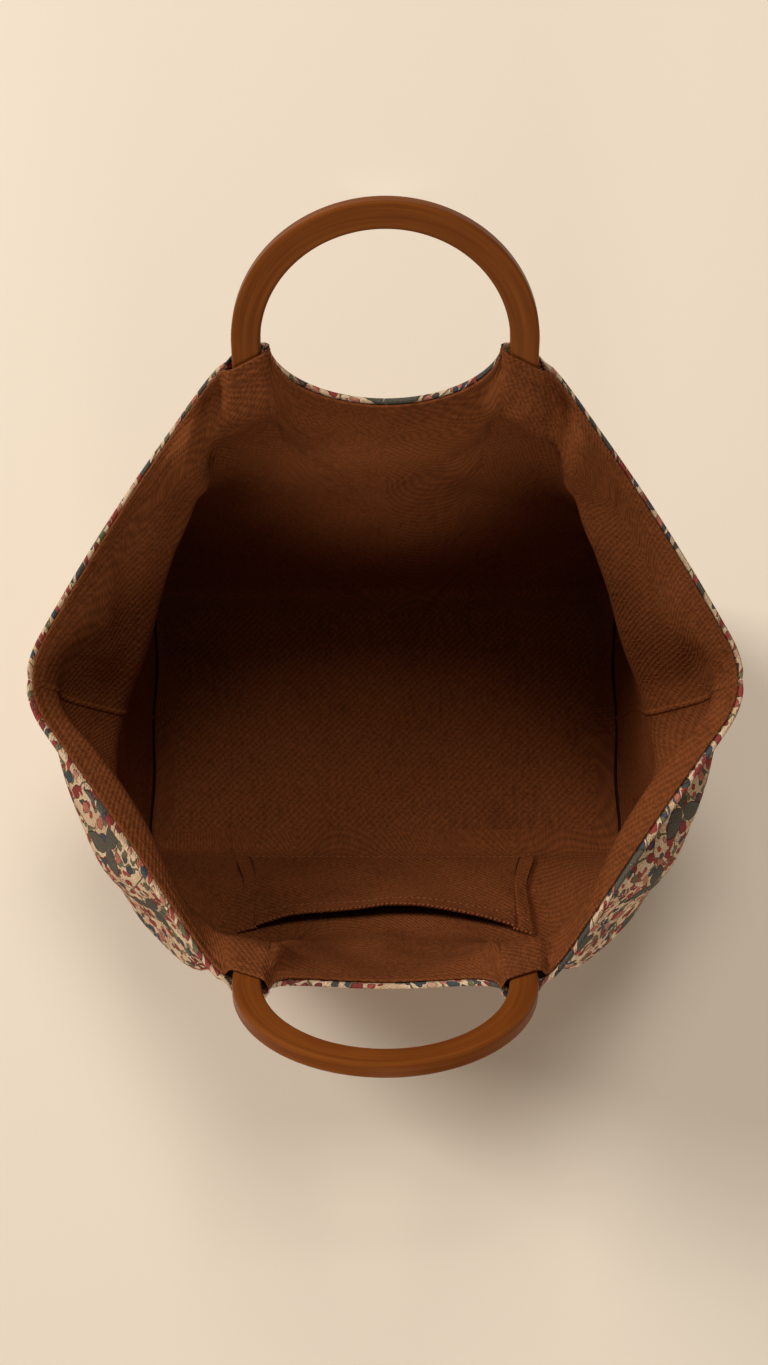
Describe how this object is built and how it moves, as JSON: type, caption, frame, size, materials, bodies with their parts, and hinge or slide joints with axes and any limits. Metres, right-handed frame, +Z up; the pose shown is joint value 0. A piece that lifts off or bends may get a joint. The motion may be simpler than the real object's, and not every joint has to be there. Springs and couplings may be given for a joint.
{
  "type": "carpet bag",
  "caption": "Open tapestry tote with a canvas lining, boxed flat base, inside patch pocket and bent wood arch handles sewn into the rim",
  "frame": {"origin": "centre of the flat base, on the surface the bag stands on", "axes": "+Z up out of the open mouth, -Y toward the front wall that carries the pocket, X from side seam to side seam"},
  "size_m": [0.4276, 0.4493, 0.419],
  "materials": {
    "tapestry": "matt jacquard tapestry weave",
    "lining_canvas": "matt brown cotton canvas",
    "handle_wood": "satin stained hardwood"
  },
  "bodies": {
    "root": {"outer_back_panel": "tapestry", "outer_front_panel": "tapestry", "lining": "lining_canvas", "inner_pocket": "lining_canvas", "back_handle": "handle_wood", "front_handle": "handle_wood"}
  },
  "joints": []
}
